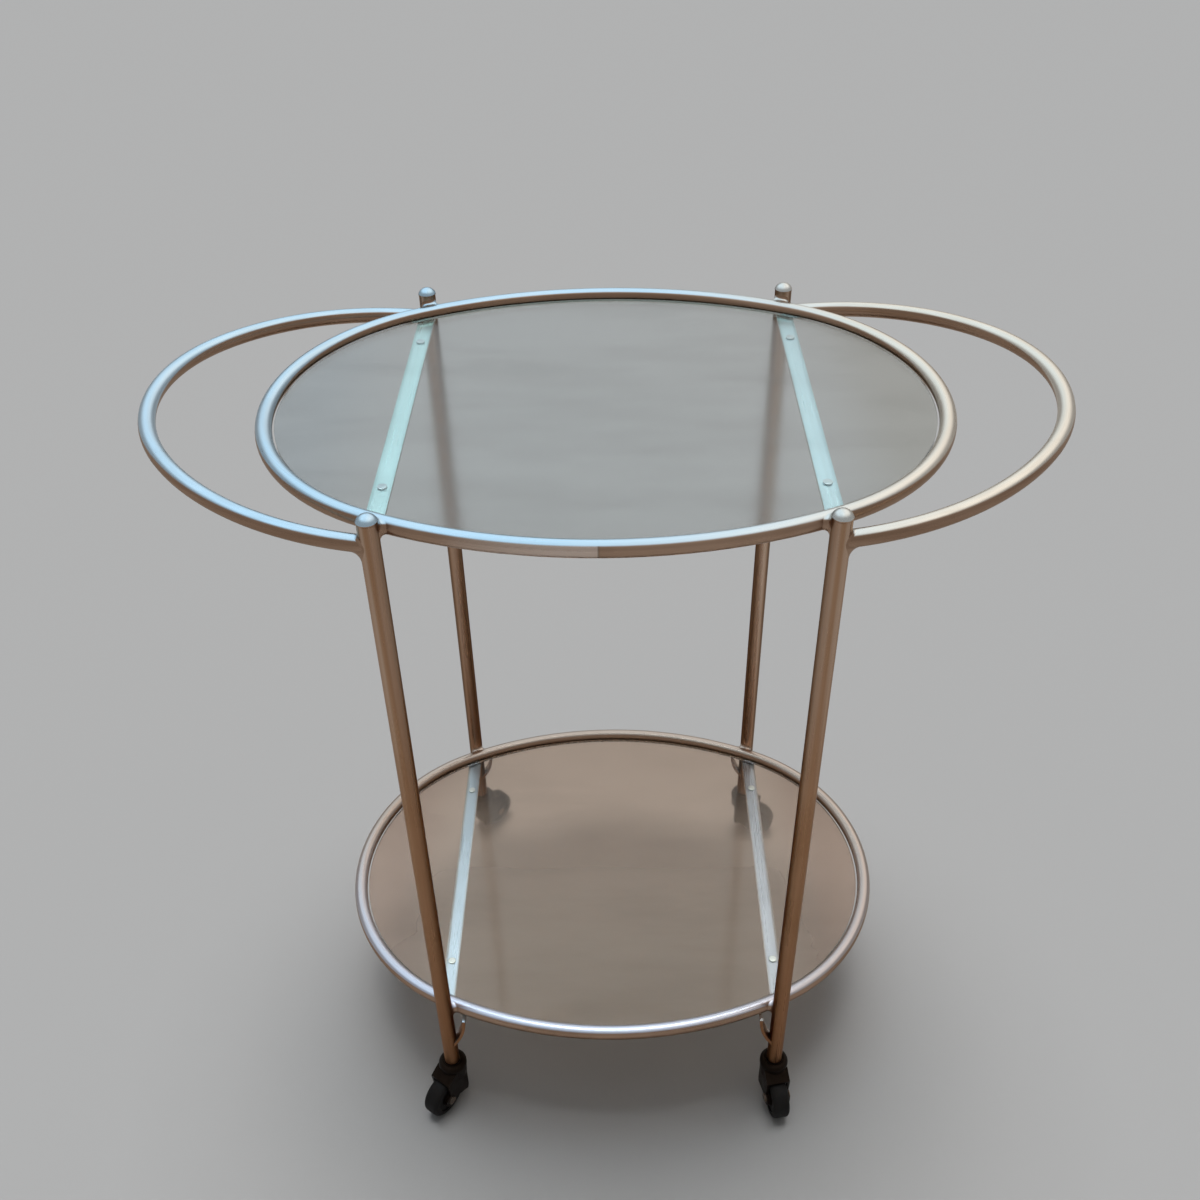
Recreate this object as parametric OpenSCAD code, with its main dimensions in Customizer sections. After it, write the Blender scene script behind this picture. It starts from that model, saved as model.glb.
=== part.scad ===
// Oval bar cart with two glass shelves, two loop handles and four swivel casters.
// Millimetres. The floor is z = 0, and the origin is under the middle of the shelves.
// +X points to the right handle, and +Y to the rear legs.

/* [Shelf rings] */
// Length of each shelf ring, outside to outside
ring_len = 590; // [540:5:640]
// Width of each shelf ring, outside to outside
ring_wid = 446; // [420:2:470]
// Radius of the ring's two ends as a share of its half width
ring_fullness = 0.9; // [0.86:0.01:0.94]
// Diameter of the ring and handle tube
tube_d = 14; // [12:0.5:16]
// Wall of the ring and handle tube
tube_wall = 1.2; // [0.8:0.1:2]
// Height of the upper ring's tube centre above the floor
upper_z = 754; // [650:1:850]
// Height of the lower ring's tube centre above the floor
lower_z = 148; // [140:1:240]
// Length of a butt weld along the tube
bead_len = 3; // [2:0.5:5]
// Height of a butt weld above the tube
bead_rise = 0.03; // [0.02:0.01:0.06]
// Diameter of the vent hole that hides behind each leg
vent_d = 3; // [2:0.5:4]

/* [Legs] */
// Diameter of the leg tube
leg_d = 16; // [14:0.5:18]
// Wall of the leg tube
leg_wall = 1.5; // [1:0.1:2]
// Distance between the left and right leg axes
leg_spread = 346; // [310:2:360]
// How far each leg is let into the side of a ring
leg_bite = 1; // [0.5:0.1:1.1]
// Gap that the weld fills between a leg and what is welded to it
weld_gap = 0.05; // [0.03:0.01:0.1]
// Top of the front legs' caps above the upper ring's tube centre
front_rise = 16; // [12:0.1:24]
// Top of the rear legs' caps above the upper ring's tube centre
rear_rise = 20.2; // [14:0.1:26]

/* [Leg caps] */
// Diameter of the cap's head
cap_d = 16.6; // [16.2:0.1:18]
// Height of the taper under the cap's rim
cap_taper = 0.5; // [0.3:0.1:0.9]
// Height of the cap's rim, with its taper
cap_rim = 1.5; // [1.2:0.1:2.5]
// Height of the dome on the cap's rim
cap_dome = 5.5; // [3:0.1:7]
// Length of the cap's stem inside the leg
cap_stem = 12; // [6:1:20]
// Gap all round between a leg's bore and what is pushed into it
plug_fit = 0.05; // [0.02:0.01:0.1]

/* [Handles] */
// Reach of the handle's tube centre, outwards from the leg axes
handle_reach = 211; // [180:1:240]
// Radius of the handle's end as a share of its half width
handle_fullness = 0.9; // [0.86:0.01:0.94]
// Drop of the handle's tube centre below the upper ring's, at the legs
handle_drop = 10.6; // [9:0.1:30]
// Angle by which the handle rises outwards
handle_tilt = 6.5; // [0:0.5:15]

/* [Shelves] */
// Thickness of the glass
glass_t = 5; // [4:0.5:6]
// Gap all round between the glass and its ring
glass_gap = 1.5; // [1:0.1:3]
// Width of the flat bars
strap_w = 15; // [10:0.5:15.5]
// Thickness of the flat bars
strap_t = 3; // [2:0.5:4]
// Gap between a flat bar's end and the side of the handle tube
strap_gap = 0.3; // [0.2:0.1:0.8]
// Diameter of the clear pads
pad_d = 8; // [6:0.5:12]
// Thickness of the clear pads
pad_t = 1.5; // [1:0.1:2.5]
// Distance between the front and rear pads
pad_spread = 250; // [120:2:290]

/* [Braces] */
// Reach of the brace's outer face, inboard from the leg
brace_reach = 12.5; // [8:0.5:18]
// Length of the brace, down from the ring's underside
brace_drop = 41; // [28:1:50]
// Thickness of the brace
brace_t = 3; // [2:0.5:4]
// Width of the brace under the ring
brace_w = 18; // [14:0.5:20]
// Width of the brace at its lower end, in the middle of the leg
brace_low_w = 12; // [8:0.5:13]
// Angle that the brace runs on into the leg, where the leg's shape is cut from it
brace_tuck = 4; // [2:0.5:6]

/* [Caster sockets] */
// Height of the leg's lower end above the floor
leg_foot = 66; // [64:1:90]
// Length of the socket's sleeve inside the leg
socket_len = 34; // [20:1:50]
// Diameter of the socket's flange
flange_d = 18; // [17:0.5:24]
// Thickness of the socket's flange
flange_t = 1.7; // [1:0.1:3]
// Diameter of the stem
stem_d = 8; // [7:0.5:9]
// Gap all round between a turning pin and its bore
turn_fit = 0.05; // [0.02:0.01:0.09]
// Gap between the faces of two pieces that turn against each other
turn_gap = 0.3; // [0.2:0.1:0.5]
// Diameter of the grip collar on top of the stem
collar_d = 10; // [9.5:0.1:11]
// Height of the grip collar
collar_h = 2; // [1:0.5:3]

/* [Casters] */
// Diameter of the wheel
wheel_d = 45; // [40:1:52]
// Width of the wheel
wheel_w = 18; // [14:0.5:24]
// Radius of the tread's edges
tread_edge = 4; // [2:0.5:6]
// Outer diameter of the dish in each side of the wheel
dish_d = 31; // [28:1:38]
// Depth of the dish in each side of the wheel
dish_depth = 1.5; // [0.5:0.1:4]
// Distance between the swivel axis and the wheel's axis
trail = 20; // [14:0.5:24]
// Diameter of the hub
hub_d = 18; // [14:0.5:22]
// Diameter of the axle
axle_d = 6; // [5:0.5:8]
// Diameter of the axle's heads
axle_head_d = 9; // [8.5:0.5:12]
// Height of the axle's heads
axle_head_h = 1.5; // [1:0.1:3]
// Thickness of the fork's side plates
plate_t = 2.5; // [2:0.1:4]
// Gap between the wheel and each side plate
plate_gap = 1; // [0.5:0.1:2]
// Radius of the boss round the axle
boss_r = 8; // [6:0.5:10]
// Gap between the wheel's tread and the hood
hood_gap = 2.5; // [1.5:0.1:4]
// Thickness of the hood
hood_t = 2; // [1.5:0.1:3]
// Start of the hood round the axle, from the trailing side upwards
hood_from = 86; // [60:1:90]
// Angle that the hood spans
hood_span = 114; // [90:1:130]
// Reach of the hood's shoulder under the head, from the swivel axis
shoulder_reach = 10; // [6:0.5:12]
// Reach of the fork's flat back under the head, behind the swivel axis
heel_reach = 7; // [4:0.5:8]
// Diameter of the fork's head
head_d = 30; // [26:0.5:34]
// Thickness of the fork's head
head_h = 7; // [6:0.5:10]
// Radius of the head's upper edge
head_edge = 5; // [2:0.5:5.5]
// Diameter of the neck under the head
neck_d = 29; // [24:0.5:29.5]
// Diameter of the neck at its lower end
neck_low_d = 28; // [22:0.5:29]
// Height of the neck
neck_h = 14; // [10:0.5:16]
// Depth of the stem in the fork's head and neck
stem_seat = 13; // [8:0.5:13]
// Gap all round between the fork and a pin that is fixed in it
fixed_fit = 0.02; // [0.01:0.01:0.04]
// Directions in which the wheels trail, counted from +X: front left, front right, rear left, rear right
trail_dirs = [234, 280, 45, 340];

/* [Hidden] */
$fn = 96;

// The four corners of the cart, in the order of trail_dirs
CORNERS = ["front_left", "front_right", "rear_left", "rear_right"];
corner_x = [-1, 1, -1, 1];
corner_y = [-1, -1, 1, 1];

// Colours
champagne = [0.78, 0.73, 0.68];
glass_tint = [0.62, 0.68, 0.68, 0.4];
clear = [0.85, 0.88, 0.88, 0.7];
black = [0.08, 0.08, 0.08];
rubber_black = [0.05, 0.05, 0.05];
steel = [0.6, 0.6, 0.62];

// Depth by which a cutting shape runs past the face that it cuts
past = 1;

// An oval of four arcs: half length, half width, end radius, side radius and the angle where the arcs meet
function oval(half_len, half_wid, end_r) =
    let (inset = half_len - end_r)
    let (side_r = (inset ^ 2 + half_wid ^ 2 - end_r ^ 2) / (2 * (half_wid - end_r)))
    [half_len, half_wid, end_r, side_r, atan2(side_r - half_wid, inset)];
function half_len(o) = o[0];
function half_wid(o) = o[1];
function end_r(o) = o[2];
function side_r(o) = o[3];
function join_angle(o) = o[4];

// Distance in Y from the oval's middle to the curve that runs a given distance outside it, at one x
function oval_y(o, outside, x) =
    x < (side_r(o) + outside) * cos(join_angle(o))
        ? half_wid(o) - side_r(o) + sqrt((side_r(o) + outside) ^ 2 - x ^ 2)
        : sqrt((end_r(o) + outside) ^ 2 - (x - half_len(o) + end_r(o)) ^ 2);

// Rings and legs
tube_r = tube_d / 2;
leg_r = leg_d / 2;
bore_r = leg_r - leg_wall;
weld_r = leg_r + weld_gap;
ring_half_wid = ring_wid / 2 - tube_r;
ring = oval(ring_len / 2 - tube_r, ring_half_wid, ring_fullness * ring_half_wid);
leg_x = leg_spread / 2;
leg_y = oval_y(ring, tube_r + leg_r - leg_bite, leg_x);
cap_h = cap_rim + cap_dome;
cap_tops = [front_rise, front_rise, rear_rise, rear_rise];

// Handles
handle = oval(handle_reach, leg_y, handle_fullness * leg_y);

// Shelves: heights are counted from the ring's tube centre
strap_half = leg_y - tube_r - strap_gap;
strap_top = -tube_r - weld_gap;
glass_bottom = strap_top + pad_t;

// Casters: heights are counted from the floor
plug_r = bore_r - plug_fit;
socket_bottom = leg_foot - flange_t;
socket_top = leg_foot + socket_len;
head_top = socket_bottom - turn_gap;
head_bottom = head_top - head_h;
stem_bottom = head_top - stem_seat;
wheel_r = wheel_d / 2;
hood_in_r = wheel_r + hood_gap;
hood_out_r = hood_in_r + hood_t;
plate_in = wheel_w / 2 + plate_gap;
plate_out = plate_in + plate_t;

// A length of the tube bent to an arc round the Z axis
module tube_arc(bend_r, start, span) {
    rotate([0, 0, start]) rotate_extrude(angle = span) translate([bend_r, 0]) difference() {
        circle(r = tube_r);
        circle(r = tube_r - tube_wall);
    }
}

// A butt weld round the tube, through the origin and along Y
module bead() {
    rotate([90, 0, 0]) linear_extrude(height = bead_len, center = true) difference() {
        circle(r = tube_r + bead_rise);
        circle(r = tube_r - tube_wall - bead_rise);
    }
}

// One end arc of an oval, on its +X side, with the welds at both of its ends
module oval_end(o) {
    join = join_angle(o);
    translate([half_len(o) - end_r(o), 0, 0]) {
        tube_arc(end_r(o), -join, 2 * join);
        for (side = [-1, 1]) rotate([0, 0, side * join]) translate([end_r(o), 0, 0]) bead();
    }
}

// A side arc of an oval on its +Y side, over a given stretch of angles
module oval_side(o, start, span) {
    translate([0, half_wid(o) - side_r(o), 0]) tube_arc(side_r(o), start, span);
}

// The leg positions in plan
module at_legs() {
    for (i = [0 : 3]) translate([corner_x[i] * leg_x, corner_y[i] * leg_y, 0]) children();
}

// Vent holes through the ring's wall, on the line from the ring's tube centre to each leg
module vents() {
    for (i = [0 : 3]) {
        run = leg_y - half_wid(ring) + side_r(ring);
        lean = leg_x < side_r(ring) * cos(join_angle(ring)) ? atan2(leg_x, run)
            : atan2(leg_x - half_len(ring) + end_r(ring), leg_y);
        translate([corner_x[i] * leg_x, corner_y[i] * leg_y, 0])
            rotate([corner_y[i] * 90, 0, -corner_x[i] * corner_y[i] * lean])
                cylinder(d = vent_d, h = leg_r + tube_r - leg_bite);
    }
}

// A whole ring, let in for the four legs
module ring_tube(height) {
    color(champagne) translate([0, 0, height]) difference() {
        for (turn = [0, 180]) rotate([0, 0, turn]) {
            oval_end(ring);
            oval_side(ring, join_angle(ring), 180 - 2 * join_angle(ring));
        }
        at_legs() cylinder(r = weld_r, h = tube_d + 2 * past, center = true);
        vents();
    }
}

// A leg tube, open at both ends
module leg(i) {
    leg_h = upper_z + cap_tops[i] - cap_h - leg_foot;
    color(champagne) translate([corner_x[i] * leg_x, corner_y[i] * leg_y, leg_foot]) difference() {
        cylinder(d = leg_d, h = leg_h);
        translate([0, 0, -past]) cylinder(r = bore_r, h = leg_h + 2 * past);
    }
}

// Half profile of a leg cap, from its axis outwards, with z = 0 on the leg's upper end
module cap_profile() {
    cap_r = cap_d / 2;
    dome_r = (cap_r ^ 2 + cap_dome ^ 2) / (2 * cap_dome);
    intersection() {
        polygon([[0, 0], [leg_r, 0], [cap_r, cap_taper], [cap_r, cap_h], [0, cap_h]]);
        translate([0, cap_h - dome_r]) circle(r = dome_r, $fn = 360);
    }
    translate([0, -cap_stem]) square([plug_r, cap_stem + past]);
}

// A domed plug in the upper end of a leg
module cap(i) {
    color(champagne)
        translate([corner_x[i] * leg_x, corner_y[i] * leg_y, upper_z + cap_tops[i] - cap_h])
            rotate_extrude() cap_profile();
}

// A loop handle on the +X side, from the front leg to the rear leg
module handle_tube() {
    color(champagne) translate([leg_x, 0, upper_z - handle_drop]) difference() {
        rotate([0, -handle_tilt, 0]) {
            oval_end(handle);
            oval_side(handle, join_angle(handle), 90 - join_angle(handle));
            rotate([180, 0, 0]) oval_side(handle, join_angle(handle), 90 - join_angle(handle));
        }
        for (side = [-1, 1]) translate([0, side * leg_y, 0])
            cylinder(r = weld_r, h = 2 * tube_d, center = true);
    }
}

// A flat bar under the glass, from a front leg to a rear leg
module strap(side, height) {
    color(champagne) translate([side * leg_x, 0, height + strap_top - strap_t]) difference() {
        translate([-strap_w / 2, -strap_half, 0]) cube([strap_w, 2 * strap_half, strap_t]);
        for (end = [-1, 1]) translate([0, end * leg_y, -past]) cylinder(r = weld_r, h = strap_t + 2 * past);
    }
}

// The four pads of one shelf, on its two flat bars
module pads(height) {
    color(clear) for (side = [-1, 1], end = [-1, 1])
        translate([side * leg_x, end * pad_spread / 2, height + strap_top]) cylinder(d = pad_d, h = pad_t);
}

// The outline of an oval drawn in by a given distance: two end circles and the lens of its side circles
module oval_outline(o, inset) {
    join_x = (side_r(o) - inset) * cos(join_angle(o));
    side_middle = side_r(o) - half_wid(o);
    intersection() {
        translate([0, side_middle]) circle(r = side_r(o) - inset);
        translate([0, -side_middle]) circle(r = side_r(o) - inset);
        square([2 * join_x, 2 * half_wid(o)], center = true);
    }
    for (side = [-1, 1]) translate([side * (half_len(o) - end_r(o)), 0]) circle(r = end_r(o) - inset);
}

// An oval glass plate inside its ring
module glass(height) {
    color(glass_tint) translate([0, 0, height + glass_bottom])
        linear_extrude(height = glass_t) oval_outline(ring, tube_r + glass_gap, $fn = 360);
}

// A curved strip from the lower ring's underside down to the inboard side of a leg. One edge is straight, and
// the edge towards the middle of the cart tapers downwards.
module brace(i) {
    bend_r = (brace_reach ^ 2 + brace_drop ^ 2) / (2 * brace_reach);
    sweep = asin(brace_drop / bend_r) + brace_tuck;
    inward = -corner_y[i];
    low_edge = brace_low_w / 2;
    high_edge = brace_w - low_edge;
    color(champagne) translate([corner_x[i] * leg_x, corner_y[i] * leg_y, lower_z - tube_r - weld_gap])
        difference() {
            intersection() {
                mirror([corner_x[i] > 0 ? 0 : 1, 0, 0])
                    translate([bend_r - leg_r - brace_reach, high_edge, 0])
                        rotate([90, 0, 0]) rotate([0, 0, 180]) rotate_extrude(angle = sweep)
                            translate([bend_r - brace_t, 0]) square([brace_t, 2 * high_edge]);
                rotate([90, 0, 90]) linear_extrude(height = 2 * bend_r, center = true)
                    polygon([
                        [-inward * low_edge, past], [inward * high_edge, past], [inward * high_edge, 0],
                        [inward * low_edge, -brace_drop], [inward * low_edge, -bend_r],
                        [-inward * low_edge, -bend_r]
                    ]);
            }
            translate([0, 0, -bend_r]) cylinder(r = weld_r, h = bend_r + past);
        }
}

// The caster's sleeve and flange, pushed into the leg
module socket(i) {
    color(black) translate([corner_x[i] * leg_x, corner_y[i] * leg_y, 0]) difference() {
        union() {
            translate([0, 0, socket_bottom]) cylinder(d = flange_d, h = flange_t);
            translate([0, 0, socket_bottom]) cylinder(r = plug_r, h = flange_t + socket_len);
        }
        translate([0, 0, socket_bottom - past])
            cylinder(r = stem_d / 2 + turn_fit, h = flange_t + socket_len + 2 * past);
    }
}

// A caster's place: the swivel axis is Z and the wheel trails towards +X
module at_caster(i) {
    translate([corner_x[i] * leg_x, corner_y[i] * leg_y, 0]) rotate([0, 0, trail_dirs[i]]) children();
}

// A shape drawn upright in X and Z and given a width in Y, round the caster's middle plane
module upright(width) {
    rotate([90, 0, 0]) linear_extrude(height = width, center = true) children();
}

// The caster's stem, with its grip collar above the socket
module stem(i) {
    collar_bottom = socket_top + turn_gap;
    color(steel) at_caster(i) {
        translate([0, 0, stem_bottom]) cylinder(d = stem_d, h = collar_bottom + collar_h - stem_bottom);
        translate([0, 0, collar_bottom]) cylinder(d = collar_d, h = collar_h);
    }
}

// The head of the fork: a disc with a rounded upper edge
module fork_head() {
    head_r = head_d / 2;
    translate([0, 0, head_bottom]) rotate_extrude() {
        square([head_r, head_h - head_edge]);
        square([head_r - head_edge, head_h]);
        translate([head_r - head_edge, head_h - head_edge]) intersection() {
            circle(r = head_edge);
            square(head_edge);
        }
    }
}

// Side view of the hood's sector, out to a given radius, round the axle
module hood_sector(outer_r) {
    reach = 2 * outer_r;
    mid = hood_from + hood_span / 2;
    intersection() {
        circle(r = outer_r);
        polygon([
            [0, 0], reach * [cos(hood_from), sin(hood_from)], reach * [cos(mid), sin(mid)],
            reach * [cos(hood_from + hood_span), sin(hood_from + hood_span)]
        ]);
    }
}

// Side view of the body that runs from under the head to the hood's lip and down the fork's flat back, round
// the axle
module shoulder() {
    head_z = head_bottom - wheel_r;
    lip = hood_out_r * [cos(hood_from), sin(hood_from)];
    polygon([
        [0, 0], lip, [shoulder_reach - trail, head_z], [-trail - heel_reach, head_z], [-hood_out_r, 0]
    ]);
}

// The fork: head, neck, hood and two side plates in one moulding
module fork(i) {
    color(black) at_caster(i) difference() {
        union() {
            fork_head();
            translate([0, 0, head_bottom - neck_h]) cylinder(d1 = neck_low_d, d2 = neck_d, h = neck_h);
            translate([trail, 0, wheel_r]) upright(2 * plate_out) {
                hood_sector(hood_out_r);
                shoulder();
                circle(r = boss_r);
            }
        }
        translate([trail, 0, wheel_r]) upright(2 * plate_in) circle(r = hood_in_r);
        translate([trail, 0, wheel_r]) upright(2 * plate_out + 2 * past) circle(r = axle_d / 2 + fixed_fit);
        translate([0, 0, stem_bottom]) cylinder(r = stem_d / 2 + fixed_fit, h = stem_seat + past);
    }
}

// The axle: a rivet with a head against each side plate
module axle(i) {
    color(steel) at_caster(i) translate([trail, 0, wheel_r]) {
        upright(2 * (plate_out + axle_head_h)) circle(d = axle_d);
        for (side = [-1, 1]) translate([0, side * (plate_out + axle_head_h / 2), 0])
            upright(axle_head_h) circle(d = axle_head_d);
    }
}

// The hub: a sleeve that turns on the axle between the side plates
module hub(i) {
    color(black) at_caster(i) translate([trail, 0, wheel_r]) upright(2 * (plate_in - turn_gap)) difference() {
        circle(d = hub_d);
        circle(r = axle_d / 2 + turn_fit);
    }
}

// Half profile of the wheel, with the tread at +X and the wheel's width along Y
module wheel_profile() {
    half_w = wheel_w / 2;
    difference() {
        union() {
            translate([0, -half_w]) square([wheel_r - tread_edge, wheel_w]);
            translate([0, -half_w + tread_edge]) square([wheel_r, wheel_w - 2 * tread_edge]);
            for (side = [-1, 1]) translate([wheel_r - tread_edge, side * (half_w - tread_edge)])
                circle(r = tread_edge);
        }
        translate([-past, -half_w - past]) square([hub_d / 2 + fixed_fit + past, wheel_w + 2 * past]);
        for (side = [-1, 1]) translate([0, side * half_w]) square([dish_d, 2 * dish_depth], center = true);
    }
}

// The solid wheel round the hub
module wheel(i) {
    color(rubber_black) at_caster(i) translate([trail, 0, wheel_r]) rotate([90, 0, 0])
        rotate_extrude() wheel_profile();
}

ring_tube(upper_z);  // upper_ring
ring_tube(lower_z);  // lower_ring
glass(upper_z);  // glass_upper
glass(lower_z);  // glass_lower
mirror([1, 0, 0]) handle_tube();  // handle_left
handle_tube();  // handle_right
strap(-1, upper_z);  // strap_upper_left
strap(1, upper_z);  // strap_upper_right
strap(-1, lower_z);  // strap_lower_left
strap(1, lower_z);  // strap_lower_right
pads(upper_z);  // pads_upper
pads(lower_z);  // pads_lower
for (i = [0 : 3]) {
    leg(i);
    cap(i);
    brace(i);
    socket(i);
    stem(i);
    fork(i);
    axle(i);
    hub(i);
    wheel(i);
}
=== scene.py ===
"""Oval two-shelf bar cart: finish, weld fillets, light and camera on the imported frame. Metres, +Z up."""
import math
import bpy
from mathutils import Matrix, Vector

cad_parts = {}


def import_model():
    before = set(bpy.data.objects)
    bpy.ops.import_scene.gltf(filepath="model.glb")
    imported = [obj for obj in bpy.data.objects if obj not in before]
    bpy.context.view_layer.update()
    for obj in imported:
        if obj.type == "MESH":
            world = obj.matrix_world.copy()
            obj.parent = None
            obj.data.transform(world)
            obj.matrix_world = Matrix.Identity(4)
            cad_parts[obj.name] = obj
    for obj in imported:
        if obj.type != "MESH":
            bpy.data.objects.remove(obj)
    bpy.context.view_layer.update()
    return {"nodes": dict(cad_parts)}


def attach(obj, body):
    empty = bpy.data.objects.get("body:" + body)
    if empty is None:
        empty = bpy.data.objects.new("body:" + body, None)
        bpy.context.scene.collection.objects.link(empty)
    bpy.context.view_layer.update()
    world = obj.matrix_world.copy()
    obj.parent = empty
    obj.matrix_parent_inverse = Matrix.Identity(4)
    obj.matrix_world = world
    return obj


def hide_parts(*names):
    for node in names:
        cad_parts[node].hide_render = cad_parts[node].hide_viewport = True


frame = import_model()
NODES = frame["nodes"]
CORNERS = {"front_left": (-1, -1), "front_right": (1, -1), "rear_left": (-1, 1), "rear_right": (1, 1)}

# The frame's sizes, as in the CAD source. SIDE_R and SIDE_Y are the radius and centre of the rings' long sides.
RING_R = 0.007
RING_HALF = (0.288, 0.216)
LEG_R = 0.008
LEG_XY = (0.173, 0.192909)
UPPER_Z = 0.754
LOWER_Z = 0.148
SIDE_R = 0.408
SIDE_Y = 0.192
HANDLE_Z = 0.7434
HANDLE_REACH = 0.211
HANDLE_SIDE_R = 0.2195
HANDLE_TILT = math.radians(6.5)
STRAP_TOP = -0.00705
PAD_Y = 0.125

# Where the upper ring's butt weld is seen.
SEAM_X = -0.004
# The clearer, lighter strip painted into each plate over a flat bar, a painted highlight of the bar: its middle,
# where it starts to fade and where it ends.
STRIP_X = LEG_XY[0] - 0.0008
STRIP_FADE = (0.0045, 0.0085)
# Ball radii of the weld fillets.
UPPER_WELD_R = 0.0042
LOWER_WELD_R = 0.0035
HANDLE_WELD_UNDER_R = 0.0125
HANDLE_WELD_OVER_R = 0.003
# How far a fillet's borders go into the tubes.
FILLET_SINK = 0.00012
# How often a searched range is halved.
HALVINGS = 40


# ---------- node helpers ----------

def new_material(name):
    mat = bpy.data.materials.new(name)
    mat.use_nodes = True
    tree = mat.node_tree
    tree.nodes.clear()
    out = tree.nodes.new("ShaderNodeOutputMaterial")
    bsdf = tree.nodes.new("ShaderNodeBsdfPrincipled")
    tree.links.new(bsdf.outputs[0], out.inputs[0])
    return mat, tree, bsdf


def node(tree, kind, inputs=(), **attrs):
    """A node of that kind. inputs maps a socket's name or number to a value or to another node's socket."""
    n = tree.nodes.new("ShaderNode" + kind)
    for key, value in attrs.items():
        setattr(n, key, value)
    for key, value in dict(inputs).items():
        if isinstance(value, bpy.types.NodeSocket):
            tree.links.new(value, n.inputs[key])
        else:
            n.inputs[key].default_value = value
    return n


def calc(tree, operation, a, b=0.0, c=0.0):
    return node(tree, "Math", {0: a, 1: b, 2: c}, operation=operation).outputs[0]


def times(tree, a, b):
    return calc(tree, "MULTIPLY", a, b)


def xyz(tree, vector):
    """The three parts of a vector."""
    return tuple(node(tree, "SeparateXYZ", {0: vector}).outputs)


def stretched(tree, vector, scale):
    return node(tree, "Mapping", {"Vector": vector, "Scale": scale}).outputs[0]


def ramp(tree, value, low, high, to_low=0.0, to_high=1.0):
    """value taken from low..high to to_low..to_high, clamped, with soft ends."""
    inputs = {"Value": value, "From Min": low, "From Max": high, "To Min": to_low, "To Max": to_high}
    return node(tree, "MapRange", inputs, interpolation_type="SMOOTHSTEP").outputs[0]


def noise(tree, vector, scale, detail=3.0, rough=0.5):
    n = node(tree, "TexNoise", {"Vector": vector, "Scale": scale, "Detail": detail, "Roughness": rough})
    return n.outputs["Fac"]


def mix(tree, factor, a, b, blend="MIX"):
    """Colours a and b mixed. Inputs 0, 6 and 7 and output 2 are the node's colour sockets."""
    n = tree.nodes.new("ShaderNodeMix")
    n.data_type = "RGBA"
    n.blend_type = blend
    for key, value in ((0, factor), (6, a), (7, b)):
        if isinstance(value, bpy.types.NodeSocket):
            tree.links.new(value, n.inputs[key])
        else:
            n.inputs[key].default_value = value if key == 0 else (*value, 1.0)
    return n.outputs[2]


def set_in(tree, bsdf, **values):
    """Sets the shader's sockets. An underscore in a name stands for a space."""
    for key, value in values.items():
        name = key.replace("_", " ")
        if isinstance(value, bpy.types.NodeSocket):
            tree.links.new(value, bsdf.inputs[name])
        elif isinstance(value, tuple):
            bsdf.inputs[name].default_value = (*value, 1.0)
        else:
            bsdf.inputs[name].default_value = value


def bump(tree, height, distance, strength=1.0, under=None):
    inputs = {"Height": height, "Distance": distance, "Strength": strength}
    if under is not None:
        inputs["Normal"] = under
    return node(tree, "Bump", inputs).outputs[0]


# ---------- materials ----------

# Painted floor reflection on the sides of each kind of tube: light, tan and streak.
SIDE_REFLECTION_TONES = {
    "upright": ((0.47, 0.265, 0.15), (0.39, 0.21, 0.11), (0.30, 0.145, 0.07)),
    "flat": ((0.60, 0.56, 0.52), (0.54, 0.50, 0.46), (0.48, 0.43, 0.38)),
    "ring": ((0.43, 0.285, 0.20), (0.36, 0.23, 0.155), (0.27, 0.16, 0.10)),
    "handle": ((0.43, 0.285, 0.20), (0.36, 0.23, 0.155), (0.27, 0.16, 0.10)),
}


def grain_vector(tree, kind):
    """Coordinates stretched along the tube: fine across it, slow along it. Also the place, whole and in parts."""
    place = node(tree, "TexCoord").outputs["Object"]
    x, y, z = xyz(tree, place)
    fine, slow = 420.0, 5.0
    if kind == "upright":
        scaled = times(tree, x, fine), times(tree, y, fine), times(tree, z, slow)
    elif kind == "flat":
        scaled = times(tree, x, fine), times(tree, y, slow), times(tree, z, fine)
    else:
        if kind == "ring":
            u, v, half = calc(tree, "DIVIDE", x, RING_HALF[0]), calc(tree, "DIVIDE", y, RING_HALF[1]), 0.25
        else:
            out = calc(tree, "SUBTRACT", calc(tree, "ABSOLUTE", x), LEG_XY[0])
            u, v, half = calc(tree, "DIVIDE", out, HANDLE_REACH), calc(tree, "DIVIDE", y, LEG_XY[1]), 0.2
        far = calc(tree, "SQRT", calc(tree, "ADD", times(tree, u, u), times(tree, v, v)))
        turn = calc(tree, "ARCTAN2", v, u)
        scaled = times(tree, far, fine * half), times(tree, turn, slow * half), times(tree, z, fine)
    joined = node(tree, "CombineXYZ", dict(enumerate(scaled)))
    return joined.outputs[0], place, (x, y, z)


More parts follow.
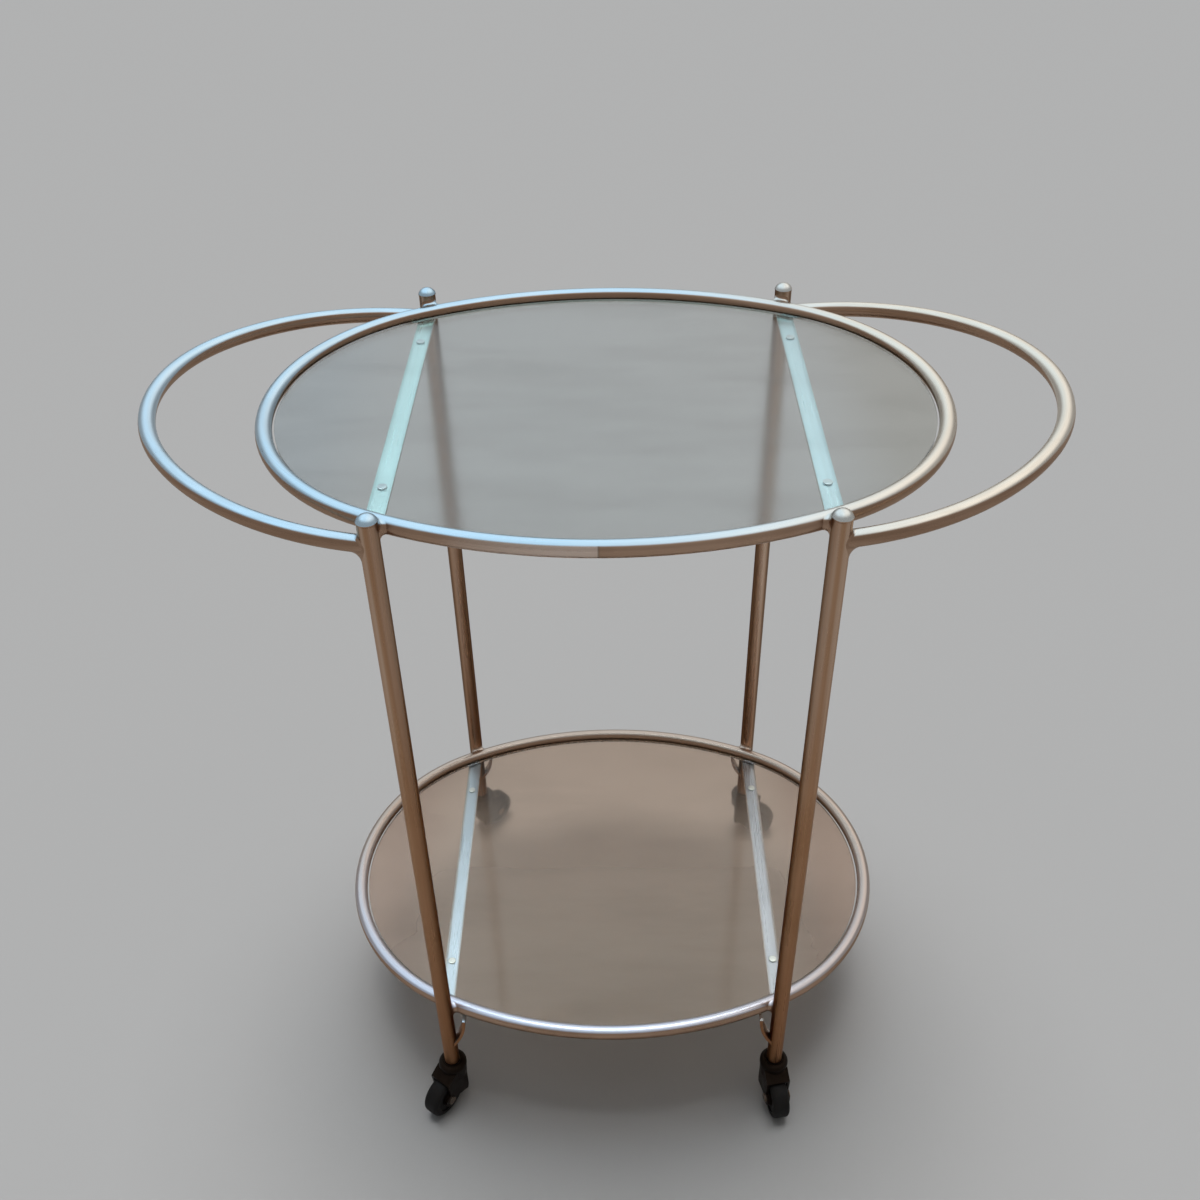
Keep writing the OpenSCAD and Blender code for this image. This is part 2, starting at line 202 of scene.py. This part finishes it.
def metal(name, kind, seam=False, shaded=False, pale=(0.3, 0.62)):
    """Satin champagne lacquer on steel with a drawn grain, and painted light: a painted highlight makes the tops
    pale, and a painted reflection of a brown floor makes the sides tan.

    kind says how the piece runs: upright, flat (front to rear), ring or handle. Rings and handles also get the
    painted highlight where they face the rear. seam adds the butt weld at the ring's front. shaded is for the lower
    shelf and paints the shade of the upper one there. pale gives how far an upright or flat piece faces up where
    its painted pale top starts, and where it is full.
    """
    mat, tree, bsdf = new_material(name)
    along, place, (x, y, z) = grain_vector(tree, kind)
    face_x, face_y, face_z = xyz(tree, node(tree, "TexCoord").outputs["Normal"])
    cloud = noise(tree, place, 9.0, 4.0, 0.55)
    grain = noise(tree, along, 1.0, 3.0, 0.6)
    wide = noise(tree, along, 0.22, 2.0)
    speck = noise(tree, place, 900.0, 2.0)
    # Painted light: the share of the pale top colour, by how far a surface faces up, or for rings and handles how
    # far it faces up and to the rear.
    facing, (low, high) = face_z, pale
    if kind in ("ring", "handle"):
        facing = calc(tree, "ADD", times(tree, face_y, 0.665), times(tree, face_z, 0.747))
        low, high = 0.0, 0.22
    shade = calc(tree, "ADD", facing, times(tree, calc(tree, "SUBTRACT", wide, 0.5), 0.1))
    up = ramp(tree, shade, low, high)
    not_up = calc(tree, "SUBTRACT", 1.0, up)

    light, tan, streak = SIDE_REFLECTION_TONES[kind]
    side = mix(tree, ramp(tree, cloud, 0.35, 0.65), tan, light)
    if kind == "upright":
        sideways = calc(tree, "ABSOLUTE", face_x)
        rear = ramp(tree, y, 0.0, 0.1)
        high_up = ramp(tree, z, 0.40, 0.70)
        # Painted light: paler at the rear legs, most of all in a stripe down their front and back.
        side = mix(tree, ramp(tree, y, -0.05, 0.15, 0.0, 0.45), side, (0.62, 0.46, 0.36))
        stripe = times(tree, ramp(tree, sideways, 0.1, 0.6, 0.55, 0.0), rear)
        side = mix(tree, stripe, side, (0.84, 0.64, 0.50))
        # The painted floor reflection is greyer at the top and browner at the foot.
        side = mix(tree, times(tree, high_up, 0.6), side, (0.54, 0.38, 0.27))
        side = mix(tree, ramp(tree, z, 0.12, 0.36, 1.0, 0.0), side, (1.0, 0.87, 0.78), "MULTIPLY")
        # Painted highlight and shade: at the top also paler at the sides and darker down the middle.
        flank = times(tree, ramp(tree, sideways, 0.12, 0.4, 0.0, 0.5), high_up)
        side = mix(tree, flank, side, (0.62, 0.47, 0.37))
        off_middle = calc(tree, "ABSOLUTE", calc(tree, "ADD", face_x, 0.05))
        middle = times(tree, ramp(tree, off_middle, 0.08, 0.32, 0.6, 0.0), high_up)
        side = mix(tree, middle, side, (0.84, 0.74, 0.62), "MULTIPLY")
    if seam:
        front = ramp(tree, y, -0.21, -0.2, 1.0, 0.0)
        left = times(tree, ramp(tree, x, SEAM_X - 0.0006, SEAM_X + 0.0004, 1.0, 0.0), ramp(tree, x, -0.17, -0.02))
        side = mix(tree, times(tree, left, front), side, (0.66, 0.53, 0.45))
    side = mix(tree, ramp(tree, wide, 0.4, 0.62, 0.0, 0.5), side, streak)

    # Painted highlight on the tops: cool on the left and warm on the right. It is dimmer on the lower flat bars,
    # and on the lower ring it turns to a painted shade of tan towards the rear, under the upper shelf.
    right = ramp(tree, x, 0.0, 0.27)
    if kind == "flat" and shaded:
        top = mix(tree, right, (0.455, 0.625, 0.775), (0.385, 0.445, 0.526))
    elif kind == "flat":
        top = mix(tree, right, (0.71, 1.0, 1.0), (0.66, 0.90, 1.0))
    elif shaded:
        top = mix(tree, right, (0.60, 0.64, 0.76), (0.54, 0.49, 0.49))
        top = mix(tree, ramp(tree, y, -0.22, 0.10), top, (0.47, 0.385, 0.33))
    else:
        top = mix(tree, right, (0.50, 0.69, 0.84), (0.74, 0.69, 0.61))
        top = mix(tree, ramp(tree, cloud, 0.3, 0.7, 0.0, 0.2), top, (0.80, 0.81, 0.80))

    colour = mix(tree, up, side, top)
    colour = mix(tree, ramp(tree, grain, 0.35, 0.7, 0.0, 0.35), colour, (0.86, 0.84, 0.82), "MULTIPLY")
    if seam:
        from_seam = calc(tree, "ABSOLUTE", calc(tree, "SUBTRACT", x, SEAM_X))
        line = times(tree, ramp(tree, from_seam, 0.0003, 0.0012, 0.5, 0.0), not_up)
        colour = mix(tree, times(tree, line, front), colour, (0.16, 0.12, 0.09))
    tint = (0.78, 0.72, 0.66)
    if kind == "upright":
        # Painted shade: dark down the inner side of the front legs and both sides of the rear ones, in the colour
        # and in the sheen's tint.
        outward = times(tree, calc(tree, "SIGN", x), face_x)
        tint = mix(tree, ramp(tree, outward, -0.9, 0.4), (0.25, 0.19, 0.15), (0.72, 0.62, 0.54))
        inner = times(tree, ramp(tree, outward, -0.95, -0.6, 0.5, 0.0), ramp(tree, y, 0.0, 0.1, 1.0, 0.0))
        rims = times(tree, ramp(tree, sideways, 0.4, 0.8, 0.0, 0.85), rear)
        dark = times(tree, calc(tree, "ADD", inner, rims), not_up)
        colour = mix(tree, dark, colour, (0.16, 0.09, 0.05))
    elif kind == "flat":
        tint = (0.95, 1.0, 1.0)
    rough = calc(tree, "ADD", ramp(tree, grain, 0.3, 0.7, 0.24, 0.34), ramp(tree, cloud, 0.4, 0.75, 0.0, 0.06))
    normal = bump(tree, speck, 0.00002, 0.4, bump(tree, grain, 0.00003, 0.5))
    set_in(tree, bsdf, Base_Color=colour, Metallic=1.0, Roughness=rough, Normal=normal, Coat_Weight=0.1,
           Coat_Roughness=0.12, Coat_IOR=1.5, Specular_Tint=tint)
    return mat


def glass(name, front, rear, left_end, right_end, rough_low, rough_high, veil=0.0):
    """Plate glass, green and dark at its ground edge, with faint wiping marks, and a clearer, lighter strip over
    each flat bar that paints a highlight of the bar.

    front and rear are its tints there, and left_end and right_end what they are multiplied by at the plate's ends.
    These tints are painted shade and reflection: the lower plate is darker towards the rear and at its ends, where
    the floor seen through it lies outside the cart's shadow, and the upper plate's ends paint a cool reflection on
    the left and a warm one on the right. rough_low is between the wiping marks and rough_high in them. veil is the
    share of the light that the front half of the plate scatters, and the rear a tenth of that.
    """
    mat, tree, bsdf = new_material(name)
    coord = node(tree, "TexCoord")
    place = coord.outputs["Object"]
    across, depth, _ = xyz(tree, place)
    facing = calc(tree, "ABSOLUTE", xyz(tree, coord.outputs["Normal"])[2])
    smear = noise(tree, stretched(tree, place, (3.0, 11.0, 3.0)), 1.6, 4.0, 0.6)
    dust = noise(tree, place, 420.0, 2.0, 0.7)
    from_bar = calc(tree, "ABSOLUTE", calc(tree, "SUBTRACT", calc(tree, "ABSOLUTE", across), STRIP_X))
    # Painted shade and reflection: the tints towards the rear and at the ends.
    face = mix(tree, ramp(tree, depth, -0.16, 0.2), front, rear)
    face = mix(tree, ramp(tree, across, -0.25, -0.17, 1.0, 0.0), face, left_end, "MULTIPLY")
    face = mix(tree, ramp(tree, across, 0.17, 0.25), face, right_end, "MULTIPLY")
    face = mix(tree, ramp(tree, smear, 0.35, 0.75, 0.0, 0.5), face, (0.80, 0.79, 0.78), "MULTIPLY")
    # Painted highlight: the clearer, lighter strip over each flat bar.
    face = mix(tree, ramp(tree, from_bar, *STRIP_FADE, 0.5, 0.0), face, (0.97, 0.97, 0.97))
    colour = mix(tree, ramp(tree, facing, 0.5, 0.95), (0.10, 0.17, 0.14), face)
    rough = calc(tree, "ADD", ramp(tree, smear, 0.45, 0.75, rough_low, rough_high),
                 ramp(tree, dust, 0.68, 0.8, 0.0, 0.05))
    clear = 1.0
    if veil:
        cloudy = times(tree, ramp(tree, from_bar, *STRIP_FADE), ramp(tree, depth, -0.02, 0.15, veil, veil * 0.1))
        clear = calc(tree, "SUBTRACT", 1.0, cloudy)
    set_in(tree, bsdf, Base_Color=colour, Roughness=rough, IOR=1.32, Transmission_Weight=clear,
           Normal=bump(tree, smear, 0.0004, 0.15))
    return mat


def clear_pad():
    """Clear soft plastic, coloured and shaded as a metal: a painted reflection of the bar that it lies on."""
    mat, tree, bsdf = new_material("clear_pad_look")
    place = node(tree, "TexCoord").outputs["Object"]
    haze = noise(tree, place, 700.0, 3.0)
    colour = mix(tree, ramp(tree, haze, 0.35, 0.7), (0.60, 0.74, 0.77), (0.74, 0.86, 0.88))
    set_in(tree, bsdf, Base_Color=colour, Metallic=0.9, Roughness=ramp(tree, haze, 0.3, 0.7, 0.3, 0.42),
           Normal=bump(tree, haze, 0.00005, 0.5))
    return mat


def moulded_plastic():
    """Black nylon with the fine grain of its mould, scuffed, paler in blotches where it faces up, and with a
    painted brown reflection in its sheen.
    """
    mat, tree, bsdf = new_material("caster_plastic_look")
    coord = node(tree, "TexCoord")
    place = coord.outputs["Object"]
    facing = xyz(tree, coord.outputs["Normal"])[2]
    fine = noise(tree, place, 1600.0, 2.0, 0.6)
    blotch = noise(tree, place, 90.0, 4.0, 0.6)
    scuff = noise(tree, stretched(tree, place, (1.0, 1.0, 9.0)), 160.0, 4.0, 0.7)
    colour = mix(tree, ramp(tree, blotch, 0.35, 0.7), (0.0035, 0.0022, 0.0016), (0.009, 0.0055, 0.004))
    paler_facing_up = times(tree, ramp(tree, facing, 0.3, 0.95), ramp(tree, blotch, 0.4, 0.7, 0.0, 0.25))
    colour = mix(tree, paler_facing_up, colour, (0.022, 0.016, 0.012))
    colour = mix(tree, ramp(tree, scuff, 0.66, 0.74, 0.0, 0.4), colour, (0.03, 0.022, 0.017))
    # Painted reflection: the sheen's brown tint.
    set_in(tree, bsdf, Base_Color=colour, Roughness=ramp(tree, blotch, 0.3, 0.75, 0.34, 0.5),
           Normal=bump(tree, fine, 0.00004, 0.6), Specular_IOR_Level=0.15, Specular_Tint=(0.8, 0.55, 0.4))
    return mat


def tread_rubber():
    """Black rubber, worn paler in patches, with grit in it."""
    mat, tree, bsdf = new_material("wheel_rubber_look")
    place = node(tree, "TexCoord").outputs["Object"]
    grit = noise(tree, place, 800.0, 4.0, 0.7)
    wear = noise(tree, place, 120.0, 3.0, 0.6)
    colour = mix(tree, ramp(tree, wear, 0.35, 0.7), (0.004, 0.0033, 0.0032), (0.011, 0.009, 0.008))
    colour = mix(tree, ramp(tree, grit, 0.6, 0.75, 0.0, 0.3), colour, (0.025, 0.02, 0.017))
    set_in(tree, bsdf, Base_Color=colour, Roughness=ramp(tree, wear, 0.3, 0.7, 0.5, 0.7),
           Normal=bump(tree, grit, 0.00012, 0.5), Specular_IOR_Level=0.2)
    return mat


def pin_steel():
    """Turned steel, brown with stains."""
    mat, tree, bsdf = new_material("pin_steel_look")
    place = node(tree, "TexCoord").outputs["Object"]
    turned = noise(tree, stretched(tree, place, (1.0, 1.0, 8.0)), 500.0, 3.0)
    stain = noise(tree, place, 200.0, 4.0, 0.6)
    colour = mix(tree, ramp(tree, stain, 0.45, 0.75), (0.25, 0.19, 0.15), (0.13, 0.09, 0.06))
    set_in(tree, bsdf, Base_Color=colour, Metallic=1.0, Roughness=ramp(tree, turned, 0.3, 0.7, 0.28, 0.45),
           Normal=bump(tree, turned, 0.00002, 0.5))
    return mat


UPRIGHT = metal("champagne_upright", "upright")
UPPER = metal("champagne_upper_ring", "ring", seam=True)
LOWER = metal("champagne_lower_ring", "ring", shaded=True)
HANDLE = metal("champagne_handle", "handle")
WELD = metal("champagne_weld", "ring")
# The caps' painted highlight starts lower down their domes.
CAP = metal("champagne_cap", "upright", pale=(0.15, 0.36))
FLAT = metal("champagne_flat", "flat")
LOW_FLAT = metal("champagne_low_flat", "flat", shaded=True)
UPPER_GLASS = glass("upper_glass_look", front=(0.69, 0.72, 0.72), rear=(0.65, 0.665, 0.66),
                    left_end=(0.91, 0.94, 0.97), right_end=(0.88, 0.85, 0.80), rough_low=0.14, rough_high=0.18)
LOWER_GLASS = glass("lower_glass_look", front=(1.0, 0.85, 0.72), rear=(0.68, 0.53, 0.42),
                    left_end=(0.80, 0.75, 0.74), right_end=(0.76, 0.70, 0.68), rough_low=0.07, rough_high=0.10,
                    veil=0.30)
PAD, PLASTIC, RUBBER, STEEL = clear_pad(), moulded_plastic(), tread_rubber(), pin_steel()

# The look of each node, by how its name starts.
LOOKS = {
    "upper_ring": UPPER, "lower_ring": LOWER, "handle": HANDLE, "leg": UPRIGHT, "cap": CAP, "brace": UPRIGHT,
    "strap_upper": FLAT, "strap_lower": LOW_FLAT, "pads": PAD, "glass_upper": UPPER_GLASS,
    "glass_lower": LOWER_GLASS, "socket": PLASTIC, "fork": PLASTIC, "hub": PLASTIC, "wheel": RUBBER,
    "stem": STEEL, "axle": STEEL,
}
for name, obj in NODES.items():
    look = next(mat for start, mat in LOOKS.items() if name.startswith(start))
    obj.data.materials.clear()
    obj.data.materials.append(look)


# ---------- pads and weld fillets ----------

def make_piece(name, points, faces, mat, body, slot="frame_metal"):
    mesh = bpy.data.meshes.new(name)
    mesh.from_pydata([tuple(p) for p in points], [], faces)
    mesh.polygons.foreach_set("use_smooth", [True] * len(faces))
    mesh.materials.append(mat)
    obj = bpy.data.objects.new(name, mesh)
    bpy.context.scene.collection.objects.link(obj)
    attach(obj, body)
    return obj


def pad_discs(z, sides=40):
    """Four soft discs with rounded rims, a hair lower than the space between the flat bars and the glass."""
    r, edge, high = 0.004, 0.0005, 0.00146
    bend = (0.4, 0.8, 1.2, 1.5708)
    profile = [(r - edge, 0.0)]
    profile += [(r - edge + edge * math.sin(a), edge - edge * math.cos(a)) for a in bend]
    profile += [(r - edge + edge * math.cos(a), high - edge + edge * math.sin(a)) for a in (0.0, *bend)]
    rows = len(profile)
    points, faces = [], []
    for sx, sy in CORNERS.values():
        first = len(points)
        for k in range(sides):
            a = 2 * math.pi * k / sides
            points += [(sx * LEG_XY[0] + d * math.cos(a), sy * PAD_Y + d * math.sin(a), z + h) for d, h in profile]
        for k in range(sides):
            here, there = first + k * rows, first + (k + 1) % sides * rows
            faces += [(here + j, there + j, there + j + 1, here + j + 1) for j in range(rows - 1)]
        faces.append([first + k * rows + rows - 1 for k in range(sides)])
        faces.append([first + (sides - 1 - k) * rows for k in range(sides)])
    return points, faces


def fillet_strip(sections, steps=8):
    """A closed band from arcs: each section is (ball centre, contact point, other contact point)."""
    points, faces = [], []
    for centre, a, b in sections:
        u, v = a - centre, b - centre
        whole = u.angle(v)
        for k in range(steps + 1):
            t = k / steps
            w = (u * math.sin((1 - t) * whole) + v * math.sin(t * whole)) / math.sin(whole)
            if k in (0, steps):
                w *= 1.0 + FILLET_SINK / w.length
            points.append(centre + w)
    rows, cols = len(sections), steps + 1
    for i in range(rows):
        for k in range(steps):
            a, b = i * cols + k, ((i + 1) % rows) * cols + k
            faces.append((a, b, b + 1, a + 1))
    return points, faces


def ring_weld(sx, sy, z, radius, count=64):
    """The band where a leg and a ring meet, left by a ball that rolls round it and touches both tubes."""
    leg = Vector((sx * LEG_XY[0], sy * LEG_XY[1], 0.0))
    middle = Vector((0.0, -sy * SIDE_Y, 0.0))
    inward = (middle - leg).normalized()
    reach, limit = LEG_R + radius, RING_R + radius
    low, high = 0.0, math.pi
    for _ in range(HALVINGS):
        widest = (low + high) / 2
        probe = leg + Matrix.Rotation(widest, 4, "Z") @ inward * reach
        off = abs((probe - middle).length - SIDE_R)
        low, high = (widest, high) if off < limit else (low, widest)
    sections = []
    for i in range(count):
        turn = 2 * math.pi * i / count
        flat = leg + Matrix.Rotation(widest * math.cos(turn), 4, "Z") @ inward * reach
        axis = middle + (flat - middle).normalized() * SIDE_R
        off = (flat - axis).length
        rise = math.sqrt(max(0.0, limit * limit - off * off)) * (1 if math.sin(turn) >= 0 else -1)
        centre = Vector((flat.x, flat.y, z + rise))
        axis.z = z
        on_ring = axis + (centre - axis).normalized() * RING_R
        on_leg = Vector((leg.x, leg.y, centre.z)) + (flat - leg).normalized() * LEG_R
        sections.append((centre, on_ring, on_leg))
    return fillet_strip(sections)


def handle_point(sx, sy, run):
    """A point of the handle's centreline, run metres from the leg's axis, with its direction."""
    turn = run / HANDLE_SIDE_R
    level, steep = math.cos(HANDLE_TILT), math.sin(HANDLE_TILT)
    out, back = HANDLE_SIDE_R * math.sin(turn), HANDLE_SIDE_R * (1 - math.cos(turn))
    p = Vector((sx * (LEG_XY[0] + out * level), sy * (LEG_XY[1] - back), HANDLE_Z + out * steep))
    d = Vector((sx * math.cos(turn) * level, -sy * math.sin(turn), math.cos(turn) * steep))
    return p, d


def handle_weld(sx, sy, under, over, count=64):
    """The band round the handle's end: a wide radius under it and a tighter one over it."""
    leg = Vector((sx * LEG_XY[0], sy * LEG_XY[1], 0.0))
    sections = []
    for i in range(count):
        turn = 2 * math.pi * i / count
        radius = over + (under - over) * (0.5 - 0.5 * math.sin(turn)) ** 1.5
        low, high = 0.0, 0.05
        for _ in range(HALVINGS):
            run = (low + high) / 2
            p, d = handle_point(sx, sy, run)
            across = d.cross(Vector((0, 0, 1))).normalized()
            upward = across.cross(d).normalized()
            spoke = across * math.cos(turn) + upward * math.sin(turn)
            centre = p + spoke * (RING_R + radius)
            away = Vector((centre.x - leg.x, centre.y - leg.y, 0.0))
            low, high = (run, high) if away.length < LEG_R + radius else (low, run)
        on_leg = Vector((leg.x, leg.y, centre.z)) + away.normalized() * LEG_R
        sections.append((centre, p + spoke * RING_R, on_leg))
    return fillet_strip(sections)


for shelf, level in (("upper", UPPER_Z), ("lower", LOWER_Z)):
    discs = make_piece(f"soft_pads_{shelf}", *pad_discs(level + STRAP_TOP), PAD, "frame", "clear_pads")
    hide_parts(f"pads_{shelf}")

for corner, (sx, sy) in CORNERS.items():
    make_piece(f"upper_weld_{corner}", *ring_weld(sx, sy, UPPER_Z, UPPER_WELD_R), WELD, "frame")
    make_piece(f"lower_weld_{corner}", *ring_weld(sx, sy, LOWER_Z, LOWER_WELD_R), LOWER, "frame")
    band = handle_weld(sx, sy, HANDLE_WELD_UNDER_R, HANDLE_WELD_OVER_R)
    make_piece(f"handle_weld_{corner}", *band, WELD, "frame")


# ---------- floor, light and camera ----------

def floor():
    mesh = bpy.data.meshes.new("floor")
    half = 40.0
    mesh.from_pydata([(-half, -half, 0), (half, -half, 0), (half, half, 0), (-half, half, 0)], [], [(0, 1, 2, 3)])
    mat, tree, bsdf = new_material("floor_grey")
    set_in(tree, bsdf, Base_Color=(0.475, 0.472, 0.47), Roughness=0.9, Specular_IOR_Level=0.0)
    mesh.materials.append(mat)
    obj = bpy.data.objects.new("floor", mesh)
    bpy.context.scene.collection.objects.link(obj)


def world():
    """A soft grey room with a broad bright ceiling panel, behind and above, cool on the left and warm on the right.
    What reaches a surface after a matt one is dimmer, so that the floor keeps the cart's shadow."""
    sky = bpy.data.worlds.new("studio")
    sky.use_nodes = True
    tree = sky.node_tree
    tree.nodes.clear()
    out = tree.nodes.new("ShaderNodeOutputWorld")
    back = tree.nodes.new("ShaderNodeBackground")
    tree.links.new(back.outputs[0], out.inputs[0])
    look_x, look_y, look_z = xyz(tree, node(tree, "TexCoord").outputs["Generated"])
    toward_panel = calc(tree, "ADD", times(tree, look_y, 0.40), times(tree, look_z, 0.915))
    panel = mix(tree, ramp(tree, look_x, -0.3, 0.5), (1.0, 1.14, 1.22), (1.24, 1.20, 1.14))
    colour = mix(tree, ramp(tree, toward_panel, 0.45, 0.8), (0.38, 0.38, 0.38), panel)
    strength = ramp(tree, node(tree, "LightPath").outputs["Diffuse Depth"], 0.0, 1.0, 1.0, 0.3)
    tree.links.new(colour, back.inputs["Color"])
    tree.links.new(strength, back.inputs["Strength"])
    bpy.context.scene.world = sky


def lamp(name, azimuth, elevation, angle, strength, colour, through):
    """A broad far lamp that mirrors don't show. through says whether glass lets its light pass."""
    data = bpy.data.lights.new(name, "SUN")
    data.angle = math.radians(angle)
    data.energy = strength
    data.color = colour
    obj = bpy.data.objects.new(name, data)
    a, e = math.radians(azimuth), math.radians(elevation)
    toward = Vector((math.sin(a) * math.cos(e), -math.cos(a) * math.cos(e), math.sin(e)))
    obj.rotation_mode = "QUATERNION"
    obj.rotation_quaternion = toward.to_track_quat("Z", "Y")
    obj.visible_glossy = False
    obj.visible_transmission = through
    bpy.context.scene.collection.objects.link(obj)


def camera():
    """The photograph's viewpoint: square frame, level horizon but for a small roll."""
    place = Vector((0.0085831, -0.9328462, 1.2670884))
    yaw, pitch, roll = 0.0171, 0.6629, -0.0200
    right = Vector((math.cos(yaw), math.sin(yaw), 0))
    flat = Vector((-math.sin(yaw), math.cos(yaw), 0))
    ahead = flat * math.cos(pitch) - Vector((0, 0, 1)) * math.sin(pitch)
    up = flat * math.sin(pitch) + Vector((0, 0, 1)) * math.cos(pitch)
    right, up = right * math.cos(roll) + up * math.sin(roll), up * math.cos(roll) - right * math.sin(roll)
    data = bpy.data.cameras.new("camera")
    data.sensor_width = 36.0
    data.lens = 36.9147
    data.clip_start, data.clip_end = 0.05, 200.0
    obj = bpy.data.objects.new("camera", data)
    obj.matrix_world = Matrix.Translation(place) @ Matrix((right, up, -ahead)).transposed().to_4x4()
    bpy.context.scene.collection.objects.link(obj)
    bpy.context.scene.camera = obj


floor()
world()
lamp("ceiling_wide", azimuth=183, elevation=77, angle=38, strength=1.31, colour=(0.95, 1.0, 1.06), through=True)
lamp("ceiling_near", azimuth=182, elevation=81, angle=24, strength=0.87, colour=(1.07, 1.0, 0.92), through=False)
camera()
bpy.context.scene.view_settings.view_transform = "Standard"
